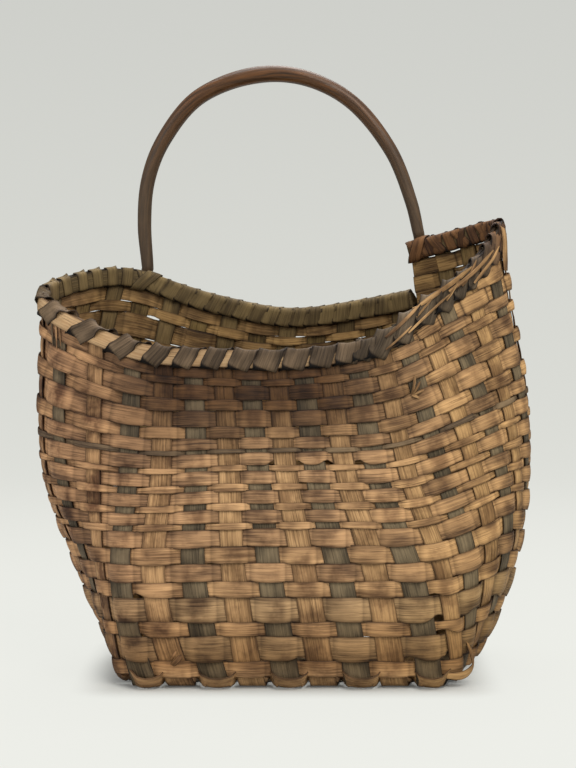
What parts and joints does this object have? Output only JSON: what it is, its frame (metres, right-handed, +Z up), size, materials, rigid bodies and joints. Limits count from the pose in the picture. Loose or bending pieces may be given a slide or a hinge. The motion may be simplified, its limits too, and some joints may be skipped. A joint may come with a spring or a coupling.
{
  "type": "plaited splint basket",
  "caption": "Plain-weave splint carrying basket with a pointed, sloping mouth, a lashed hoop rim and a bent stick bow handle on the back wall.",
  "frame": {"origin": "on the floor under the middle of the base, on the underside of the middle side stake where it passes under the middle front stake", "axes": "+Z up out of the mouth, -Y toward the front, +X toward the high end of the mouth"},
  "size_m": [0.3695, 0.1956, 0.4466],
  "materials": {
    "stake_dark": "dry dark olive grey splint, matt",
    "stake_light": "dry pale tan splint, matt",
    "weaver_tan": "dry tan splint, matt",
    "weaver_mauve": "dry mauve brown splint, matt",
    "weaver_dark": "dry dark splint, matt",
    "hoop": "bare pale shaved wood, matt",
    "lashing_grey": "weathered grey brown splint, matt",
    "lashing_brown": "reddish brown splint, matt",
    "handle": "hand-worn dark brown stick, satin"
  },
  "bodies": {
    "root": {"front_stake_1": "stake_dark", "front_stake_2": "stake_light", "front_stake_3": "stake_dark", "front_stake_4": "stake_light", "front_stake_5": "stake_dark", "front_stake_6": "stake_light", "front_stake_7": "stake_dark", "front_stake_8": "stake_light", "front_stake_9": "stake_dark", "side_stake_1": "stake_light", "side_stake_2": "stake_dark", "side_stake_3": "stake_light", "side_stake_4": "stake_dark", "side_stake_5": "stake_light", "side_stake_6": "stake_dark", "side_stake_7": "stake_light", "side_stake_8": "stake_dark", "side_stake_9": "stake_light", "weaver_01": "weaver_tan", "weaver_02": "weaver_mauve", "weaver_03": "weaver_tan", "weaver_04": "weaver_mauve", "weaver_05": "weaver_tan", "weaver_06": "weaver_mauve", "weaver_07": "weaver_tan", "weaver_08": "weaver_mauve", "weaver_09": "weaver_tan", "weaver_10": "weaver_mauve", "weaver_11": "weaver_tan", "weaver_12": "weaver_mauve", "weaver_13": "weaver_tan", "weaver_14": "weaver_mauve", "weaver_15": "weaver_tan", "weaver_16": "weaver_mauve", "weaver_17": "weaver_dark", "weaver_18": "weaver_mauve", "weaver_19": "weaver_tan", "weaver_20": "weaver_mauve", "weaver_21": "weaver_tan", "weaver_22": "weaver_mauve", "weaver_23": "weaver_tan", "weaver_24": "weaver_mauve", "short_weaver_1": "weaver_tan", "short_weaver_2": "weaver_tan", "short_weaver_3": "weaver_tan", "rim_hoop_outer": "hoop", "rim_hoop_inner": "hoop", "rim_lashing_front": "lashing_grey", "rim_lashing_right": "lashing_brown", "rim_lashing_back": "lashing_grey", "handle": "handle", "handle_tie_left_under": "lashing_brown", "handle_tie_left_over": "lashing_brown", "handle_tie_right_under": "lashing_brown", "handle_tie_right_over": "lashing_brown"}
  },
  "joints": []
}
